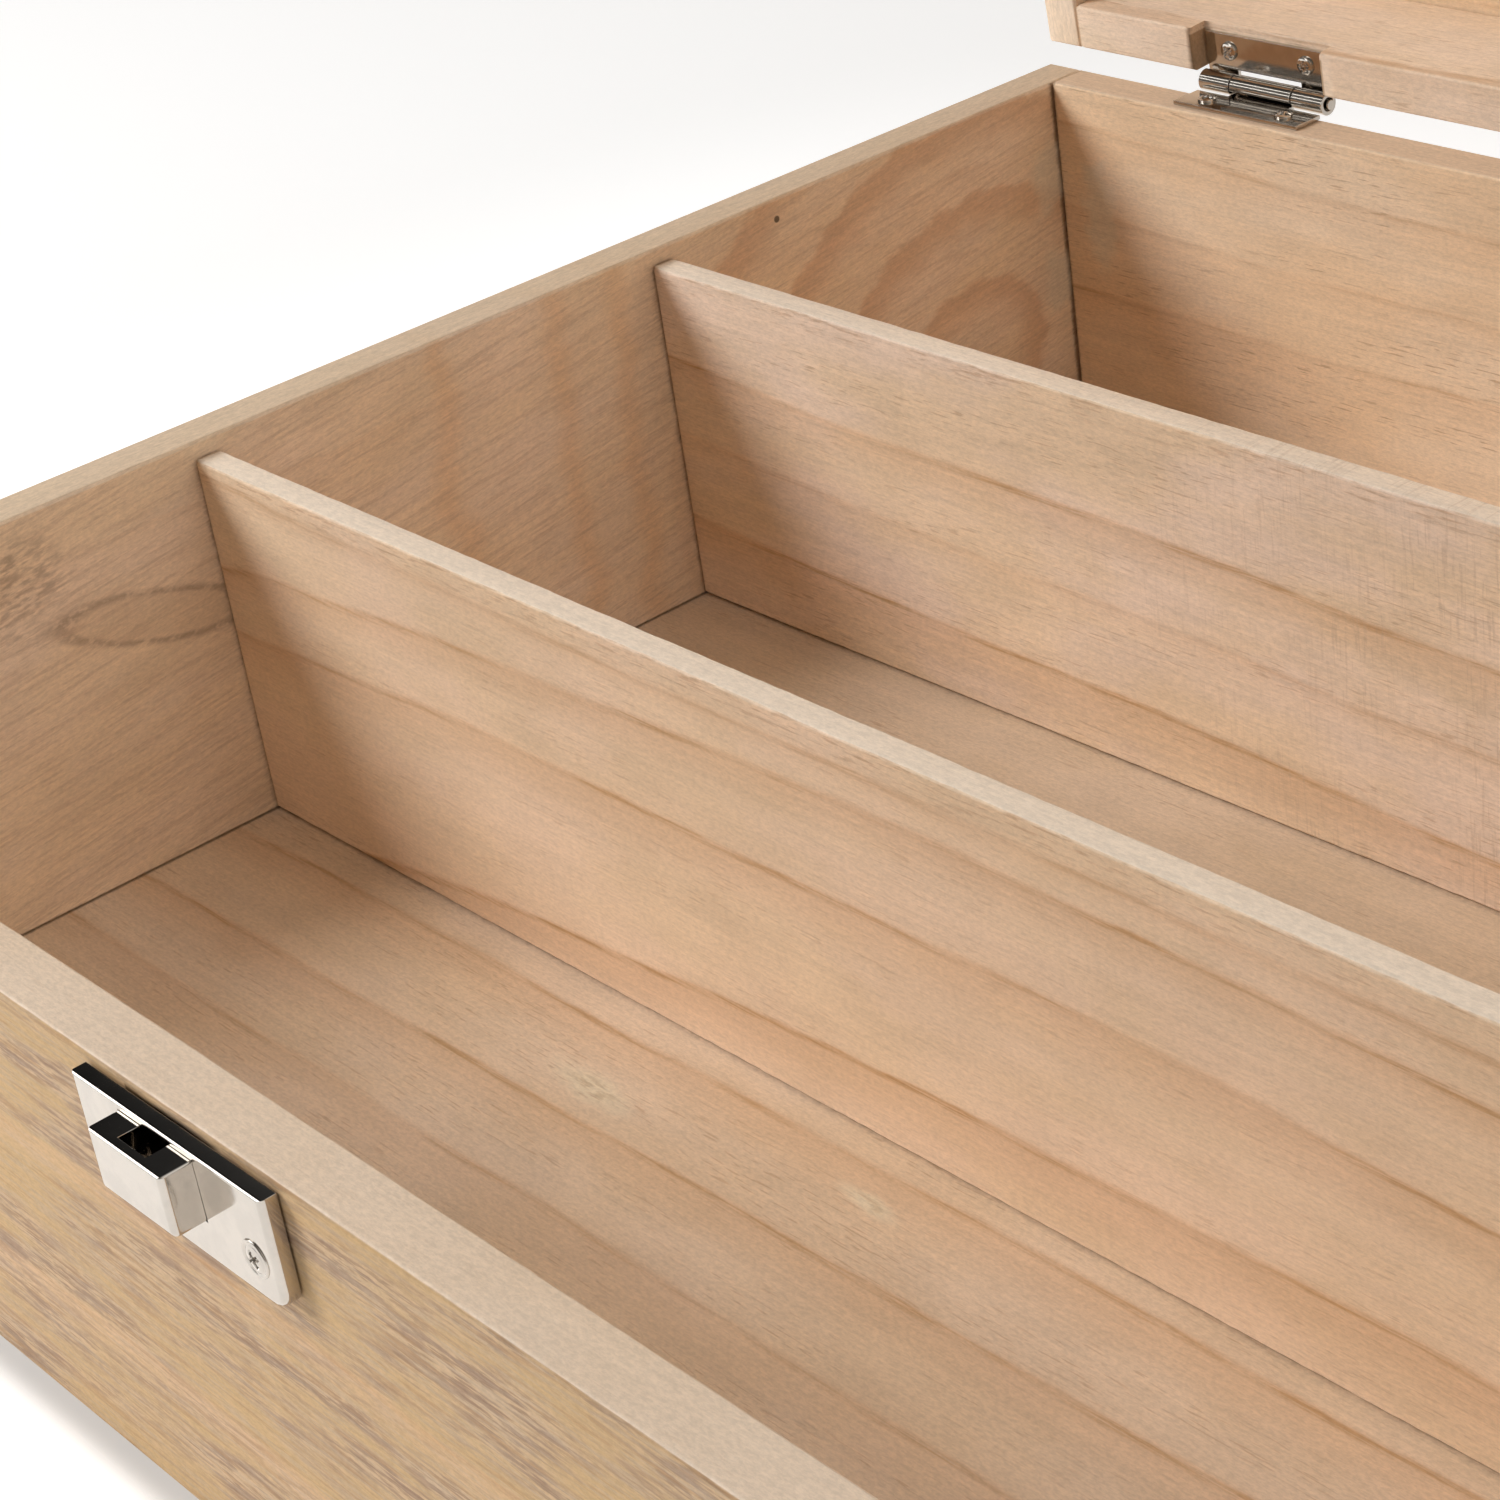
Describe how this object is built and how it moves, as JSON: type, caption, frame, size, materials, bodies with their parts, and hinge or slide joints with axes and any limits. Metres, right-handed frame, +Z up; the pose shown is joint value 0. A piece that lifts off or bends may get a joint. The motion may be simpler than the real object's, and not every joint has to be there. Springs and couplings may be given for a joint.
{
  "type": "hinged compartment box",
  "caption": "Low wooden box with long parallel compartments, a shallow framed lid on butt hinges, and a press latch on its front.",
  "frame": {"origin": "centre of the base's flat underside", "axes": "+Z up, +X to the right along the compartments, +Y from the latch towards the hinges; the lid is open at rest"},
  "size_m": [0.337, 0.3415, 0.3833],
  "materials": {
    "boards": "bare sanded pale wood with light brown grain",
    "panels": "bare sanded pale wood, thin panel",
    "nickel": "polished nickel plate",
    "spring_steel": "plain drawn wire"
  },
  "bodies": {
    "box": {"base_back": "boards", "base_front": "boards", "base_left_side": "boards", "base_right_side": "boards", "floor_panel": "panels", "front_divider": "boards", "latch_plate": "nickel", "latch_screw_1": "nickel", "latch_screw_2": "nickel", "latch_spring": "spring_steel", "left_hinge_lower_leaf": "nickel", "left_hinge_lower_screw_1": "nickel", "left_hinge_lower_screw_2": "nickel", "left_hinge_pin": "nickel", "rear_divider": "boards", "right_hinge_lower_leaf": "nickel", "right_hinge_lower_screw_1": "nickel", "right_hinge_lower_screw_2": "nickel", "right_hinge_pin": "nickel"},
    "lid": {"catch_plate": "nickel", "catch_screw_1": "nickel", "catch_screw_2": "nickel", "left_hinge_upper_leaf": "nickel", "left_hinge_upper_screw_1": "nickel", "left_hinge_upper_screw_2": "nickel", "lid_back": "boards", "lid_front": "boards", "lid_left_side": "boards", "lid_panel": "panels", "lid_right_side": "boards", "right_hinge_upper_leaf": "nickel", "right_hinge_upper_screw_1": "nickel", "right_hinge_upper_screw_2": "nickel"},
    "latch_button": {"latch_button": "nickel"}
  },
  "joints": [
    {"name": "lid_hinge", "type": "hinge", "parent": "box", "child": "lid", "pos_m": [0, 0.1549, 0.0722], "axis": [-1, 0, 0], "range_deg": [-86, 0]},
    {"name": "latch_press", "type": "slide", "parent": "box", "child": "latch_button", "axis": [0, 1, 0], "range_m": [0, 0.0012], "stiffness_N_per_m": 400, "springref_m": -0.0008, "deforming": ["latch_spring"]}
  ]
}
